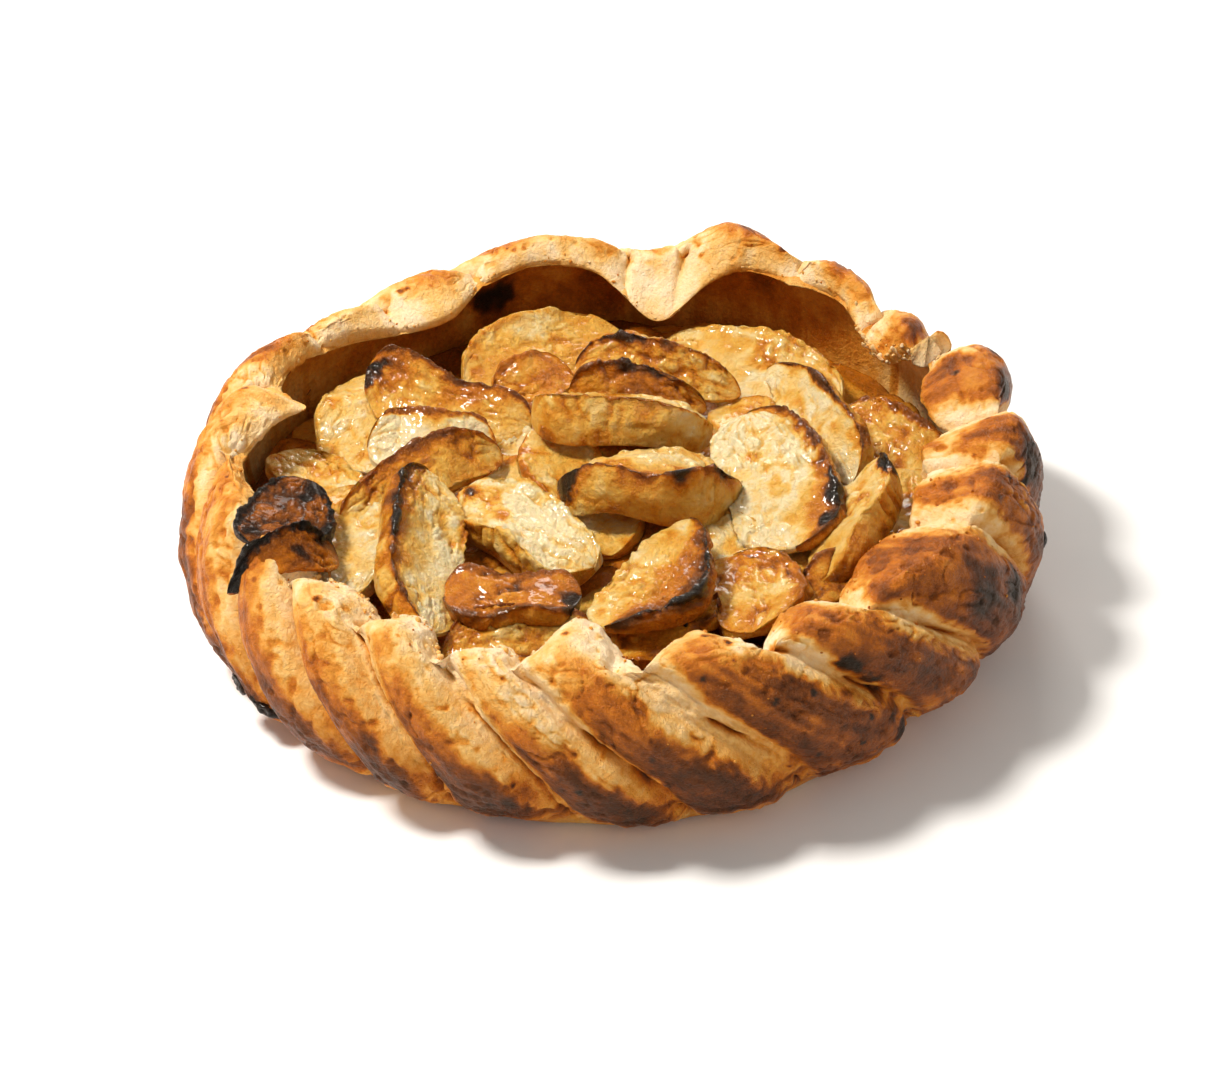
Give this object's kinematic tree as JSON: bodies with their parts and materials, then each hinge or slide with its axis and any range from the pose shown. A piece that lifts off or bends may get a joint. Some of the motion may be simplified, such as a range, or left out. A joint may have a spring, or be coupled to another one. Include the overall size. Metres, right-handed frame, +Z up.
{
  "type": "apple tart",
  "caption": "Round, deep apple tart: a pastry case with a twisted rope rim, heaped with roasted apple slices, some of them burnt.",
  "frame": {"origin": "centre of the tart's outline on the plane it rests on, its underside", "axes": "+Z up, -Y towards the side shown in the picture"},
  "size_m": [0.2385, 0.2378, 0.059],
  "materials": {
    "crust": "glazed baked pastry, cream in the folds and brown to black on the ridges",
    "filling_base": "moist cooked apple in its juice",
    "apple": "sticky roasted apple, cream to amber, brown at the edges",
    "burnt_apple": "apple burnt dark brown to black, dry"
  },
  "bodies": {
    "root": {"crust": "crust", "filling_base": "filling_base", "slice_back_inner": "apple", "slice_back_left": "apple", "slice_back_right": "apple", "slice_back_yellow": "apple", "slice_burnt_leaf": "burnt_apple", "slice_burnt_tail": "burnt_apple", "slice_centre_back": "apple", "slice_centre_cream": "apple", "slice_centre_front": "apple", "slice_centre_long": "apple", "slice_centre_mid": "apple", "slice_centre_nested": "apple", "slice_centre_under": "apple", "slice_core_low": "apple", "slice_curl": "apple", "slice_far_left": "apple", "slice_far_right": "apple", "slice_front_brown": "apple", "slice_front_corner": "apple", "slice_front_edge": "apple", "slice_front_leaf": "apple", "slice_front_low": "apple", "slice_front_pale": "apple", "slice_front_right": "apple", "slice_gap_low": "apple", "slice_left_big": "apple", "slice_left_edge": "apple", "slice_left_inner": "apple", "slice_left_low": "apple", "slice_left_pale": "apple", "slice_left_ridge": "apple", "slice_mid_left_lower": "apple", "slice_mid_left_upper": "apple", "slice_mid_right_low": "apple", "slice_right_broad": "apple", "slice_right_edge": "apple", "slice_right_slim": "apple", "slice_right_tip": "apple", "slice_right_under": "apple"}
  },
  "joints": []
}
